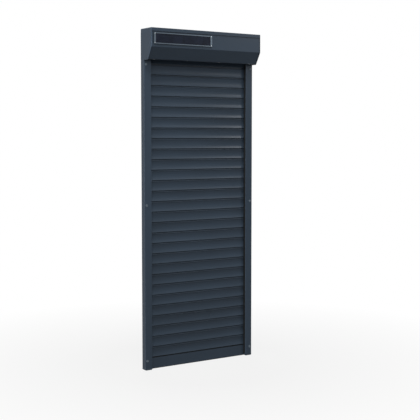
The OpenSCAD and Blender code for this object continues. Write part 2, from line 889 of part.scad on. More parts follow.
module solar_cells() {
    color("#1d2129") towards_front(cover_y, panel_t - panel_lip_t)
        panel_outline(panel_end_w - panel_lip_w, panel_edge_w - panel_lip_w);
}

module battery_pack() {
    color(dark_plastic) rod(battery_x, battery_len, battery_y, battery_z, battery_r);
}

module battery_clips() {
    inner_r = battery_r + clip_clear;
    mouth_z = battery_z - inner_r / 2;
    color(zinc) for (x = [battery_x + battery_len / 5, battery_x + battery_len * 4 / 5])
        along_x(x - clip_w / 2, clip_w) {
            difference() {
                translate([battery_y, battery_z]) circle(r = inner_r + clip_t);
                translate([battery_y, battery_z]) circle(r = inner_r);
                keep(battery_y - inner_r, battery_y + inner_r, battery_z - 2 * inner_r, mouth_z);
            }
            difference() {
                keep(battery_y - inner_r, battery_y + inner_r, box_top - sheet_t - clip_t, box_top - sheet_t);
                translate([battery_y, battery_z]) circle(r = inner_r);
            }
        }
}

for (k = [1:slat_count]) slat(k);
bottom_bar();
bar_seal();
bar_end_caps();
left_rail();
right_rail();
rail_seals();
rail_feet();
rail_screw_caps();
box_rear_shell();
box_front_cover();
box_floor();
left_end_plate();
right_end_plate();
entry_guides();
slot_glide();
shell_rivets();
cover_screws();
roller_tube();
motor_crown();
drive_wheel();
motor_body();
motor_head();
motor_bracket();
idler_plug();
idler_bearing();
bearing_holder();
hanger_strips();
solar_frame();
solar_cells();
battery_pack();
battery_clips();
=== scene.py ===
"""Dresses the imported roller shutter: coated slats, rails and box, a solar panel, a tube motor and a studio."""

import json
import math

import bmesh
import bpy
from bpy.props import FloatProperty, FloatVectorProperty, IntProperty, PointerProperty
from mathutils import Matrix, Vector


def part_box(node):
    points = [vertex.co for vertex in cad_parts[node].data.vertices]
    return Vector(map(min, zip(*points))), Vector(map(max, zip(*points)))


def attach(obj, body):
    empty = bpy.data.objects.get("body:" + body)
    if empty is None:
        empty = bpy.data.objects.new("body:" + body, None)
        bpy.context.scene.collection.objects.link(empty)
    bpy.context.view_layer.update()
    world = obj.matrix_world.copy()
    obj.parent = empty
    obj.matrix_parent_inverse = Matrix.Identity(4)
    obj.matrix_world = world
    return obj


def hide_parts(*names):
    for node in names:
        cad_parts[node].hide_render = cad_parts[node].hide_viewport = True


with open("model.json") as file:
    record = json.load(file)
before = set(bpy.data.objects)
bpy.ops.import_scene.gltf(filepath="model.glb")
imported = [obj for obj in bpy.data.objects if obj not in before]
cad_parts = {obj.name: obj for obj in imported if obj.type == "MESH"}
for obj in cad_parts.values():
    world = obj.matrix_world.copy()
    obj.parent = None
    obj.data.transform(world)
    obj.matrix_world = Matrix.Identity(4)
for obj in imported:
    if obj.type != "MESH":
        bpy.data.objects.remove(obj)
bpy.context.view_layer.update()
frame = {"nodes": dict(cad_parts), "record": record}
NODES = frame["nodes"]
MOUNTS = {m["name"]: m for m in frame["record"]["mounts"]}
SLATS = sorted(name for name in NODES if name.startswith("slat_"))

# Vertices of a new piece that lie nearer than this, in metres, are one
WELD = 1e-7
# Points of a CAD mesh that lie nearer than this, in metres, are in one place
NEAR = 1e-6
# Faces that meet at less than this are one flat face
FLAT = math.radians(0.2)
# Faces that meet at more than this have a sharp edge
SHARP = math.radians(32)
QUARTER_TURN = math.radians(90)
# Width of one band of a wave texture at a scale of 1
BAND = math.tau / 20
WHITE = (1.0, 1.0, 1.0, 1.0)
# Point near the middle of the shutter that the lamps are aimed at
AIM = Vector((0.0, 0.0, 0.95))

bl_info = {
    "name": "Roller shutter",
    "version": (1, 0, 0),
    "blender": (4, 5, 0),
    "location": "3D View > Sidebar > Shutter",
    "description": "Finishes and small pieces of an exterior roller shutter with a solar panel",
    "category": "Object",
}


def linear(hex_colour):
    """Linear RGBA of an sRGB hex value."""
    parts = [int(hex_colour[i : i + 2], 16) / 255 for i in (1, 3, 5)]
    rgb = [c / 12.92 if c <= 0.04045 else ((c + 0.055) / 1.055) ** 2.4 for c in parts]
    return (*rgb, 1.0)


def toned(colour, factor):
    """Paler or darker tone of a colour."""
    return (*(factor * c for c in colour[:3]), 1.0)


def per_mm(size):
    """Scale of a pattern whose features are this many millimetres wide."""
    return 1000.0 / size


def tint(name, what, default):
    """Colour property shown as a swatch."""
    return FloatVectorProperty(
        name=name, description=what, default=linear(default), size=4, min=0.0, max=1.0, subtype="COLOR"
    )


def length(name, what, default):
    """Length property in metres."""
    return FloatProperty(name=name, description=what, default=default, min=0.0, unit="LENGTH")


def share(name, what, default):
    """Property between none and all."""
    return FloatProperty(name=name, description=what, default=default, min=0.0, max=1.0, subtype="FACTOR")


def angle(name, what, degrees):
    """Angle property."""
    return FloatProperty(name=name, description=what, default=math.radians(degrees), subtype="ANGLE")


def count(name, what, default):
    """Number of pieces."""
    return IntProperty(name=name, description=what, default=default, min=1)


class CoatSettings(bpy.types.PropertyGroup):
    """Colours, dust, painted edge highlights and painted seam shade of the coated and moulded pieces that show
    """

    coat: tint("Coat", "Powder coat of the slats, rails and box", "#2f3a46")
    haze: tint("Dust", "Dust on faces that look up", "#8a8d8c")
    mould: tint("Mouldings", "Feet under the rails", "#2f3a45")
    cap: tint("Screw caps", "Caps over the wall screws", "#57616a")
    dust: share("Dust share", "Share of dust on level faces", 0.1)
    # Painted highlight: how much paler than the coat the rounded upright edges are painted
    edge_highlight: FloatProperty(
        name="Highlight",
        description="Brightness of rubbed edges against the coat",
        default=2.6,
        min=0.0,
        max=5.0,
        subtype="FACTOR",
    )
    # Painted shade in the seams and recesses: how much colour it leaves and how far it reaches
    painted_shade: share("Shade", "Share of the colour that shows through grime", 0.1)
    painted_shade_reach: length("Grime reach", "Distance from a seam over which grime lies", 0.006)
    # Painted shade along the top of the bottom bar, in the gap under the last slat
    gap_shade: length("Shaded edge", "Height of the shaded edge on top of the bottom bar", 0.0015)
    peel: length("Orange peel", "Width of the coat's waves", 0.005)


class TrimSettings(bpy.types.PropertyGroup):
    """Sizes of caps, rivets, screws and rims"""

    cap_r: length("Cap radius", "Radius of a screw cap", 0.0066)
    cap_t: length("Cap height", "Height of a screw cap over the rail", 0.0014)
    plug_r: length("Cap plug radius", "Radius of the plug behind a screw cap", 0.0052)
    plug_len: length("Cap plug length", "Length of the plug behind a screw cap", 0.005)
    rivet_r: length("Rivet radius", "Radius of a rivet's head", 0.0032)
    rivet_h: length("Rivet height", "Height of a rivet's head", 0.001)
    shank_r: length("Rivet shank", "Radius of a rivet's shank", 0.0016)
    screw_r: length("Screw head radius", "Radius of a cover screw's head", 0.0033)
    screw_h: length("Screw head height", "Height of a cover screw's head", 0.0012)
    thread_r: length("Screw radius", "Radius of a cover screw", 0.0018)
    plate_ease: length("End plate rim", "Radius of the eased rim of an end plate", 0.002)


class SolarSettings(bpy.types.PropertyGroup):
    """Layout of the solar panel and its battery"""

    cell: tint("Cells", "Silicon under its coating", "#171b26")
    backing: tint("Backing", "Sheet behind the cells", "#14171c")
    frame: tint("Frame", "Anodised frame", "#4f5861")
    cells: count("Cells per half", "Cells in each half of the panel", 4)
    cell_gap: length("Cell gap", "Gap between cells", 0.0012)
    half_gap: length("Middle gap", "Gap between the two halves", 0.003)
    edge_gap: length("Edge gap", "Gap between cells and frame", 0.0022)
    cell_t: length("Cell thickness", "Height of the cells over the sheet", 0.0003)
    corner: length("Cell corner", "Cut corner of a cell", 0.004)
    ribbon_w: length("Ribbon", "Width of the ribbons that join the cells", 0.0011)
    ribbon_t: length("Ribbon thickness", "Height of a ribbon over the cells", 0.00012)
    ribbon_end: length("Ribbon end", "Distance from a ribbon's end to the edge of the cells", 0.001)
    frame_end: length("Frame end", "Width of the frame at the panel's ends", 0.0105)
    frame_edge: length("Frame edge", "Width of the frame along the panel", 0.0045)
    screw_r: length("Frame screw", "Radius of the screws in the frame's corners", 0.0022)
    battery_cells: count("Battery cells", "Cells in the battery tube", 4)


class StageSettings(bpy.types.PropertyGroup):
    """Camera, floor and surrounding light"""

    lens: FloatProperty(name="Lens", description="Focal length", default=83.03, min=10.0, unit="CAMERA")
    pan: angle("Pan", "Camera turned from +Y", -33.561)
    tilt: angle("Tilt", "Camera below the horizon", 4.339)
    eye: FloatVectorProperty(
        name="Eye", description="Place of the camera", default=(-2.8323, -4.3979, 1.228), subtype="TRANSLATION"
    )
    ambient: share("Ambient", "Light from all sides", 0.01)
    floor: tint("Floor", "Pale studio floor", "#6c6c6a")
    floor_r: length("Floor radius", "Radius of the floor", 4.0)
    fade: share("Fade", "Share of white in the floor near the shutter", 0.86)
    fade_from: length("Fade start", "Distance from which the floor fades to white", 0.5)
    fade_to: length("Fade end", "Distance at which the floor is white", 2.0)


def settings():
    """Settings of the shutter in this scene."""
    return bpy.context.scene.shutter


def add(tree, kind, options, **sockets):
    """Adds a node with its options and colour stops; sets or links sockets, named or as s0, s1 and so on."""
    node = tree.nodes.new(kind)
    for key, value in options.items():
        if key == "stops":
            for stop, (position, colour) in zip(node.color_ramp.elements, value):
                stop.position, stop.color = position, colour
        else:
            setattr(node, key, value)
    for key, value in sockets.items():
        socket = node.inputs[int(key[1:])] if key[1:].isdigit() else node.inputs[key.replace("_", " ")]
        if isinstance(value, bpy.types.NodeSocket):
            tree.links.new(value, socket)
        else:
            socket.default_value = value
    return node


def finish_of(name, **sockets):
    """New material with a principled shader; gives material, tree, shader and object coordinates."""
    material = bpy.data.materials.new(name)
    material.use_nodes = True
    tree = material.node_tree
    tree.nodes.clear()
    shader = add(tree, "ShaderNodeBsdfPrincipled", {}, **sockets)
    add(tree, "ShaderNodeOutputMaterial", {}, Surface=shader.outputs[0])
    place = add(tree, "ShaderNodeTexCoord", {}).outputs["Object"]
    return material, tree, shader, place


def join(tree, output, node, socket):
    """Links an output to a node that is already there."""
    tree.links.new(output, node.inputs[socket])


def dress(material, *names):
    """Gives CAD nodes a material."""
    for name in names:
        mesh = NODES[name].data
        mesh.materials.clear()
        mesh.materials.append(material)


def piece(name, bm, material, body, stands_for=()):
    """Makes an object of a bmesh that rides on a body."""
    bmesh.ops.remove_doubles(bm, verts=bm.verts, dist=WELD)
    bmesh.ops.recalc_face_normals(bm, faces=bm.faces)
    mesh = bpy.data.meshes.new(name)
    bm.to_mesh(mesh)
    bm.free()
    mesh.materials.append(material)
    made = bpy.data.objects.new(name, mesh)
    bpy.context.scene.collection.objects.link(made)
    mesh.shade_smooth()
    mesh.set_sharp_from_angle(angle=SHARP)
    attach(made, body)
    if stands_for:
        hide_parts(*stands_for)
    return made


def turned(bm, profile, to_place, steps=32):
    """Spins a profile of (radius, height) points about Z, then moves it to its place."""
    verts = [bm.verts.new((r, 0.0, z)) for r, z in profile]
    edges = [bm.edges.new(pair) for pair in zip(verts, verts[1:])]
    bmesh.ops.spin(
        bm,
        geom=verts + edges,
        cent=(0, 0, 0),
        axis=(0, 0, 1),
        angle=math.tau,
        steps=steps,
        use_merge=True,
    )
    bmesh.ops.remove_doubles(bm, verts=[v for v in bm.verts if not v.tag], dist=WELD)
    fresh = [v for v in bm.verts if not v.tag]
    bmesh.ops.transform(bm, matrix=to_place, verts=fresh)
    for v in fresh:
        v.tag = True


def slab(bm, low, high):
    """Block between two corners; gives its vertices."""
    low, high = Vector(low), Vector(high)
    place = Matrix.Translation((low + high) / 2) @ Matrix.Diagonal((*(high - low), 1.0))
    return bmesh.ops.create_cube(bm, size=1.0, matrix=place)["verts"]


# Satin polyester powder coat, sprayed and baked on aluminium: even anthracite, a faint orange peel in the
# highlights, slow drifts of gloss from the spray, dust on what looks up, painted highlights on rounded edges
# and painted shade in the seams
def powder_coat(name, along, rough, shaded_above=None):
    coat = settings().coat
    material, tree, shader, place = finish_of(name, IOR=1.5, Specular_IOR_Level=0.13)
    run = add(tree, "ShaderNodeMapping", {}, Vector=place, Scale=along)
    drift = add(tree, "ShaderNodeTexNoise", {}, Vector=run.outputs[0], Scale=per_mm(180), Detail=3.0)
    speck = add(tree, "ShaderNodeTexNoise", {}, Vector=place, Scale=per_mm(2.5), Detail=1.0)
    stops = [(0.3, toned(coat.coat, 0.86)), (0.7, toned(coat.coat, 1.12))]
    shade = add(tree, "ShaderNodeValToRGB", {"stops": stops}, Fac=drift.outputs[0])
    normal = add(tree, "ShaderNodeNewGeometry", {}).outputs["Normal"]
    facing = add(tree, "ShaderNodeSeparateXYZ", {}, Vector=normal)
    looks_up = add(
        tree, "ShaderNodeMapRange", {}, Value=facing.outputs[2], From_Min=0.05, From_Max=1.0, To_Max=coat.dust
    )
    settled = add(
        tree, "ShaderNodeMath", {"operation": "MULTIPLY"}, s0=looks_up.outputs[0], s1=speck.outputs[0]
    )
    dusty = add(
        tree,
        "ShaderNodeMix",
        {"data_type": "RGBA"},
        s0=settled.outputs[0],
        s6=shade.outputs[0],
        s7=tuple(coat.haze),
    )
    # Painted highlight: rounded edges, whose normals lie between X and another axis, are painted paler
    sideways = add(
        tree, "ShaderNodeMath", {"operation": "MULTIPLY"}, s0=facing.outputs[0], s1=facing.outputs[0]
    )
    other = add(tree, "ShaderNodeMath", {"operation": "SUBTRACT"}, s0=1.0, s1=sideways.outputs[0])
    between = add(
        tree, "ShaderNodeMath", {"operation": "MULTIPLY"}, s0=sideways.outputs[0], s1=other.outputs[0]
    )
    highlit = add(tree, "ShaderNodeMapRange", {}, Value=between.outputs[0], From_Min=0.03, From_Max=0.25)
    dust_and_highlight = add(
        tree,
        "ShaderNodeMix",
        {"data_type": "RGBA"},
        s0=highlit.outputs[0],
        s6=dusty.outputs[2],
        s7=toned(coat.coat, coat.edge_highlight),
    )
    # Painted shade: the colour darkens where little open air lies near, in the seams between slats, bar and
    # rails
    open_air = add(tree, "ShaderNodeAmbientOcclusion", {"samples": 8}, Distance=coat.painted_shade_reach)
    unshaded = add(
        tree,
        "ShaderNodeMapRange",
        {},
        Value=open_air.outputs["AO"],
        From_Min=0.2,
        From_Max=0.9,
        To_Min=coat.painted_shade,
        To_Max=1.0,
    )
    if shaded_above is not None:
        # Painted shade fills the joint on top of the bar, and fades out just below it
        thins_over = 0.0004
        height = add(tree, "ShaderNodeSeparateXYZ", {}, Vector=place)
        gap_shade = add(
            tree,
            "ShaderNodeMapRange",
            {},
            Value=height.outputs[2],
            From_Min=shaded_above - thins_over,
            From_Max=shaded_above,
            To_Min=1.0,
            To_Max=coat.painted_shade,
        )
        unshaded = add(
            tree, "ShaderNodeMath", {"operation": "MULTIPLY"}, s0=unshaded.outputs[0], s1=gap_shade.outputs[0]
        )
    seam_shaded = add(
        tree, "ShaderNodeVectorMath", {"operation": "SCALE"}, s0=dust_and_highlight.outputs[2], Scale=unshaded.outputs[0]
    )
    gloss = add(
        tree,
        "ShaderNodeMapRange",
        {},
        Value=drift.outputs[0],
        From_Min=0.3,
        From_Max=0.7,
        To_Min=rough - 0.06,
        To_Max=rough + 0.06,
    )
    # Dust takes the shine off level faces
    dull = add(
        tree, "ShaderNodeMapRange", {}, Value=facing.outputs[2], From_Min=0.6, From_Max=0.95, To_Max=0.5
    )
    sheen = add(tree, "ShaderNodeMath", {"operation": "ADD"}, s0=gloss.outputs[0], s1=dull.outputs[0])
    # The waves of orange peel are about 2 mm wide; they are drawn wider so that they show
    peel = add(tree, "ShaderNodeTexNoise", {}, Vector=place, Scale=1.0 / coat.peel, Detail=1.5)
    bump = add(tree, "ShaderNodeBump", {}, Height=peel.outputs[0], Strength=0.12, Distance=0.0004)
    join(tree, seam_shaded.outputs[0], shader, "Base Color")
    join(tree, sheen.outputs[0], shader, "Roughness")
    join(tree, bump.outputs[0], shader, "Normal")
    return material


# Injection-moulded plastic with a spark-eroded grain: dull and pebbled, in faint clouds of tone and gloss
def moulded(name, colour, rough, grain):
    material, tree, shader, place = finish_of(name, IOR=1.49, Specular_IOR_Level=0.18)
    cloud = add(tree, "ShaderNodeTexNoise", {}, Vector=place, Scale=per_mm(35), Detail=4.0)
    stops = [(0.3, toned(colour, 0.85)), (0.75, toned(colour, 1.2))]
    shade = add(tree, "ShaderNodeValToRGB", {"stops": stops}, Fac=cloud.outputs[0])
    pebble = add(tree, "ShaderNodeTexVoronoi", {}, Vector=place, Scale=per_mm(grain))
    gloss = add(
        tree,
        "ShaderNodeMapRange",
        {},
        Value=cloud.outputs[0],
        From_Min=0.3,
        From_Max=0.7,
        To_Min=rough - 0.07,
        To_Max=rough + 0.07,
    )
    bump = add(tree, "ShaderNodeBump", {}, Height=pebble.outputs[0], Strength=0.18, Distance=0.0003)
    join(tree, shade.outputs[0], shader, "Base Color")
    join(tree, gloss.outputs[0], shader, "Roughness")
    join(tree, bump.outputs[0], shader, "Normal")
    return material


# Hot-dip galvanised steel: grey zinc whose crystals lie at different angles and shine in patches
def galvanised(name):
    material, tree, shader, place = finish_of(name, Metallic=1.0)
    spangle = add(tree, "ShaderNodeTexVoronoi", {}, Vector=place, Scale=per_mm(9))
    grey = add(tree, "ShaderNodeSeparateColor", {}, Color=spangle.outputs["Color"])
    stops = [(0.0, linear("#92979a")), (1.0, linear("#b9bdbf"))]
    shade = add(tree, "ShaderNodeValToRGB", {"stops": stops}, Fac=grey.outputs[0])
    gloss = add(tree, "ShaderNodeMapRange", {}, Value=grey.outputs[1], To_Min=0.34, To_Max=0.52)
    bump = add(
        tree, "ShaderNodeBump", {}, Height=spangle.outputs["Distance"], Strength=0.1, Distance=0.0004
    )
    join(tree, shade.outputs[0], shader, "Base Color")
    join(tree, gloss.outputs[0], shader, "Roughness")
    join(tree, bump.outputs[0], shader, "Normal")
    return material


# Drawn, rolled or ground metal: fine lines along the way it was worked, which stretch the highlights
def worked_metal(name, colour, along, rough):
    material, tree, shader, place = finish_of(name, Metallic=1.0)
    run = add(tree, "ShaderNodeMapping", {}, Vector=place, Scale=along)
    # Drawing lines are hundredths of a millimetre apart; they are drawn at half a millimetre to show
    lines = add(tree, "ShaderNodeTexNoise", {}, Vector=run.outputs[0], Scale=per_mm(0.5), Detail=2.0)
    stain = add(tree, "ShaderNodeTexNoise", {}, Vector=place, Scale=per_mm(40), Detail=3.0)
    mixed = add(tree, "ShaderNodeMath", {"operation": "MULTIPLY"}, s0=lines.outputs[0], s1=stain.outputs[0])
    stops = [(0.1, toned(colour, 0.72)), (0.45, colour)]
    shade = add(tree, "ShaderNodeValToRGB", {"stops": stops}, Fac=mixed.outputs[0])
    gloss = add(
        tree,
        "ShaderNodeMapRange",
        {},
        Value=lines.outputs[0],
        From_Min=0.3,
        From_Max=0.7,
        To_Min=rough - 0.08,
        To_Max=rough + 0.1,
    )
    bump = add(tree, "ShaderNodeBump", {}, Height=lines.outputs[0], Strength=0.08, Distance=0.0002)
    join(tree, shade.outputs[0], shader, "Base Color")
    join(tree, gloss.outputs[0], shader, "Roughness")
    join(tree, bump.outputs[0], shader, "Normal")
    return material


# Extruded EPDM rubber: black, dull, greyed by dust in its pores
def rubber(name):
    material, tree, shader, place = finish_of(name, IOR=1.52, Specular_IOR_Level=0.3)
    dust = add(tree, "ShaderNodeTexNoise", {}, Vector=place, Scale=per_mm(6), Detail=5.0)
    stops = [(0.4, linear("#08090a")), (0.8, linear("#1b1d1f"))]
    shade = add(tree, "ShaderNodeValToRGB", {"stops": stops}, Fac=dust.outputs[0])
    gloss = add(tree, "ShaderNodeMapRange", {}, Value=dust.outputs[0], To_Min=0.7, To_Max=0.92)
    bump = add(tree, "ShaderNodeBump", {}, Height=dust.outputs[0], Strength=0.2, Distance=0.0003)
    join(tree, shade.outputs[0], shader, "Base Color")
    join(tree, gloss.outputs[0], shader, "Roughness")
    join(tree, bump.outputs[0], shader, "Normal")
    return material


# Satin-anodised aluminium extrusion, dyed grey: metal seen through a thin oxide, with lines along its length
def anodised(name, colour, along):
    material, tree, shader, place = finish_of(name, Metallic=1.0)
    run = add(tree, "ShaderNodeMapping", {}, Vector=place, Scale=along)
    # Extrusion lines are about a tenth of a millimetre apart; they are drawn at 0.9 mm to show
    lines = add(tree, "ShaderNodeTexNoise", {}, Vector=run.outputs[0], Scale=per_mm(0.9), Detail=2.0)
    stops = [(0.3, toned(colour, 0.85)), (0.75, toned(colour, 1.15))]
    shade = add(tree, "ShaderNodeValToRGB", {"stops": stops}, Fac=lines.outputs[0])
    gloss = add(tree, "ShaderNodeMapRange", {}, Value=lines.outputs[0], To_Min=0.3, To_Max=0.48)
    bump = add(tree, "ShaderNodeBump", {}, Height=lines.outputs[0], Strength=0.06, Distance=0.0002)
    join(tree, shade.outputs[0], shader, "Base Color")
    join(tree, gloss.outputs[0], shader, "Roughness")
    join(tree, bump.outputs[0], shader, "Normal")
    return material


# Monocrystalline silicon under an antireflective laminate: blue-black, crossed by printed silver fingers
def silicon(name, colour):
    material, tree, shader, place = finish_of(name, IOR=1.4, Specular_IOR_Level=0.08)
    # Fingers are about 1.5 mm apart; they are drawn at 4.8 mm to show
    fingers = add(
        tree,
        "ShaderNodeTexWave",
        {"bands_direction": "X", "wave_profile": "SIN"},
        Vector=place,
        Scale=per_mm(4.8) * BAND,
    )
    thin = add(
        tree, "ShaderNodeMapRange", {}, Value=fingers.outputs[1], From_Min=0.93, From_Max=1.0, To_Max=0.2
    )
    cloud = add(tree, "ShaderNodeTexNoise", {}, Vector=place, Scale=per_mm(45), Detail=2.0)
    stops = [(0.35, toned(colour, 0.8)), (0.7, toned(colour, 1.25))]
    shade = add(tree, "ShaderNodeValToRGB", {"stops": stops}, Fac=cloud.outputs[0])
    printed = add(
        tree,
        "ShaderNodeMix",
        {"data_type": "RGBA"},
        s0=thin.outputs[0],
        s6=shade.outputs[0],
        s7=linear("#4a5058"),
    )
    gloss = add(tree, "ShaderNodeMapRange", {}, Value=cloud.outputs[0], To_Min=0.28, To_Max=0.42)
    join(tree, printed.outputs[2], shader, "Base Color")
    join(tree, gloss.outputs[0], shader, "Roughness")
    return material


# Embossed fluoropolymer sheet over black backing: dark, with a fine hammered gloss
def laminate(name, colour):
    material, tree, shader, place = finish_of(name, IOR=1.4, Specular_IOR_Level=0.12)
    dimple = add(tree, "ShaderNodeTexVoronoi", {}, Vector=place, Scale=per_mm(1.6))
    cloud = add(tree, "ShaderNodeTexNoise", {}, Vector=place, Scale=per_mm(30), Detail=2.0)
    stops = [(0.0, toned(colour, 0.8)), (1.0, toned(colour, 1.3))]
    shade = add(tree, "ShaderNodeValToRGB", {"stops": stops}, Fac=cloud.outputs[0])
    gloss = add(tree, "ShaderNodeMapRange", {}, Value=cloud.outputs[0], To_Min=0.32, To_Max=0.5)
    bump = add(tree, "ShaderNodeBump", {}, Height=dimple.outputs[0], Strength=0.15, Distance=0.0002)
    join(tree, shade.outputs[0], shader, "Base Color")
    join(tree, gloss.outputs[0], shader, "Roughness")
    join(tree, bump.outputs[0], shader, "Normal")
    return material


class SHUTTER_OT_stage(bpy.types.Operator):
    """Makes the camera, the pale floor, the lamps and the white surroundings"""

    bl_idname = "shutter.stage"
    bl_label = "Stage"

    def execute(self, context):
        stage = settings().stage
        scene = context.scene
        scene.view_settings.view_transform = "Standard"
        camera = bpy.data.cameras.new("camera")
        camera.lens = stage.lens
        camera.sensor_width = 36.0
        eye = bpy.data.objects.new("camera", camera)
        eye.location = stage.eye
        eye.rotation_euler = (QUARTER_TURN - stage.tilt, 0.0, stage.pan)
        scene.collection.objects.link(eye)
        scene.camera = eye
        self.surround(scene, stage.ambient)
        self.floor(scene, stage)
        self.lamp("high_lamp", place=(-1.27, -2.2, 6.39), size=2.2, power=303.0)
        self.lamp("front_lamp", place=(-2.57, -4.12, 4.48), size=2.2, power=126.0)
        self.lamp("low_lamp", place=(-4.2, -4.2, 1.79), size=2.2, power=52.0)
        self.lamp("left_lamp", place=(-5.48, -0.97, 3.2), size=2.2, power=165.0)
        self.lamp("right_lamp", place=(2.0, -2.0, 2.2), size=0.5, power=11.5)
        self.lamp("back_lamp", place=(1.4, 3.6, 3.6), size=2.4, power=150.0)
        return {"FINISHED"}

    def seen(self, tree):
        """1 for rays from the camera, from gloss and through glass."""
        path = add(tree, "ShaderNodeLightPath", {})
        direct = add(
            tree,
            "ShaderNodeMath",
            {"operation": "MAXIMUM"},
            s0=path.outputs["Is Camera Ray"],
            s1=path.outputs["Is Glossy Ray"],
        )
        return add(
            tree,
            "ShaderNodeMath",
            {"operation": "MAXIMUM"},
            s0=direct.outputs[0],
            s1=path.outputs["Is Transmission Ray"],
        ).outputs[0]

    def surround(self, scene, ambient):
        """World that looks white and gives little light."""
        world = bpy.data.worlds.new("white_surroundings")
        world.use_nodes = True
        tree = world.node_tree
        tree.nodes.clear()
        soft = add(tree, "ShaderNodeBackground", {}, Color=WHITE, Strength=ambient)
        white = add(tree, "ShaderNodeBackground", {}, Color=WHITE, Strength=1.0)
        both = add(
            tree, "ShaderNodeMixShader", {}, s0=self.seen(tree), s1=soft.outputs[0], s2=white.outputs[0]
        )
        add(tree, "ShaderNodeOutputWorld", {}, Surface=both.outputs[0])
        scene.world = world

    def floor(self, scene, stage):
        """Round floor that keeps the shutter's shadow and fades into the white surroundings."""
        bm = bmesh.new()
        bmesh.ops.create_circle(bm, cap_ends=True, radius=stage.floor_r, segments=96)
        mesh = bpy.data.meshes.new("floor")
        bm.to_mesh(mesh)
        bm.free()
        floor = bpy.data.objects.new("floor", mesh)
        scene.collection.objects.link(floor)
        material, tree, shader, place = finish_of(
            "painted_studio_floor", Base_Color=tuple(stage.floor), Roughness=0.9, Specular_IOR_Level=0.1
        )
        grain = add(tree, "ShaderNodeTexNoise", {}, Vector=place, Scale=per_mm(4), Detail=2.0)
        bump = add(tree, "ShaderNodeBump", {}, Height=grain.outputs[0], Strength=0.05, Distance=0.001)
        join(tree, bump.outputs[0], shader, "Normal")
        away = add(tree, "ShaderNodeVectorMath", {"operation": "LENGTH"}, s0=place)
        fade = add(
            tree,
            "ShaderNodeMapRange",
            {},
            Value=away.outputs[1],
            From_Min=stage.fade_from,
            From_Max=stage.fade_to,
            To_Min=stage.fade,
            To_Max=1.0,
        )
        whiteness = add(
            tree, "ShaderNodeMath", {"operation": "MULTIPLY"}, s0=fade.outputs[0], s1=self.seen(tree)
        )
        white = add(tree, "ShaderNodeEmission", {}, Color=WHITE, Strength=1.0)
        both = add(
            tree,
            "ShaderNodeMixShader",
            {},
            s0=whiteness.outputs[0],
            s1=shader.outputs[0],
            s2=white.outputs[0],
        )
        join(tree, both.outputs[0], tree.nodes["Material Output"], "Surface")
        mesh.materials.append(material)

    def lamp(self, name, place, size, power):
        """Round lamp aimed at the shutter."""
        light = bpy.data.lights.new(name, "AREA")
        light.shape = "DISK"
        light.size = size
        light.energy = power
        lamp = bpy.data.objects.new(name, light)
        lamp.location = place
        lamp.rotation_euler = (AIM - Vector(place)).to_track_quat("-Z", "Y").to_euler()
        bpy.context.scene.collection.objects.link(lamp)


class SHUTTER_OT_curtain(bpy.types.Operator):
    """Coats the slats and the bottom bar and finishes the bar's seal and end caps"""

    bl_idname = "shutter.curtain"
    bl_label = "Curtain"

    def execute(self, context):
        lengthwise = (0.25, 1.0, 1.0)
        slats = powder_coat("powder_coat_roll_formed_slats", along=lengthwise, rough=0.31)
        dress(slats, *SLATS)
        # The end caps have the bar's outline, without the hook on top of it
        bar_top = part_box("bar_end_caps")[1].z
        # The top of the bar, in the gap under the last slat, gets painted shade
        bar = powder_coat(
            "powder_coat_extruded_bar",
            along=lengthwise,
            rough=0.31,
            shaded_above=bar_top - settings().coat.gap_shade,
        )
        dress(bar, "bottom_bar")
        dress(rubber("extruded_epdm_bar_seal"), "bar_seal")
        dress(moulded("moulded_polyamide_caps", linear("#1d2125"), rough=0.55, grain=0.9), "bar_end_caps")
        return {"FINISHED"}


class SHUTTER_OT_rails(bpy.types.Operator):
    """Coats the rails, finishes their feet and seals, and makes the screw caps"""

    bl_idname = "shutter.rails"
    bl_label = "Rails"

    def execute(self, context):
        coat = settings().coat
        rails = powder_coat("powder_coat_extruded_rails", along=(1.0, 1.0, 0.2), rough=0.36)
        dress(rails, "left_rail", "right_rail")
        dress(moulded("moulded_asa_feet", coat.mould, rough=0.5, grain=0.8), "rail_feet")
        dress(rubber("extruded_epdm_rail_seals"), "rail_seals")
        self.screw_caps(moulded("moulded_asa_caps", coat.cap, rough=0.4, grain=0.8))
        return {"FINISHED"}

    def screw_caps(self, finish):
        """Caps over the access holes of the wall screws, three on each rail."""
        trim = settings().trim
        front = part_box("left_rail")[0].y
        ends, middle = MOUNTS["wall_fixings"], MOUNTS["wall_fixings_middle"]
        # The mounts give whole spacings in millimetres; the caps lie half of them from the middle
        reach = ends["dims"]["spacing_y_mm"] / 2000
        side = ends["dims"]["spacing_x_mm"] / 2000
        heights = [ends["pos_m"][2] - reach, middle["pos_m"][2], ends["pos_m"][2] + reach]
        r, t = trim.cap_r, trim.cap_t
        # A raised middle, a ring groove and a domed rim, then the plug
        profile = [
            (0.0, 0.62 * t),
            (0.28 * r, 0.6 * t),
            (0.36 * r, 0.42 * t),
            (0.5 * r, 0.38 * t),
            (0.6 * r, 0.5 * t),
            (0.68 * r, 0.92 * t),
            (0.78 * r, t),
            (0.88 * r, 0.88 * t),
            (0.96 * r, 0.5 * t),
            (r, 0.12 * t),
            (r, 0.0),
            (trim.plug_r, 0.0),
            (trim.plug_r, -0.8 * trim.plug_len),
            (0.9 * trim.plug_r, -trim.plug_len),
            (0.0, -trim.plug_len),
        ]
        to_front = Matrix.Rotation(QUARTER_TURN, 4, "X")
        bm = bmesh.new()
        for x in (-side, side):
            for z in heights:
                turned(bm, profile, Matrix.Translation((x, front, z)) @ to_front)
        piece("snap_in_screw_caps", bm, finish, "frame", ["rail_screw_caps"])


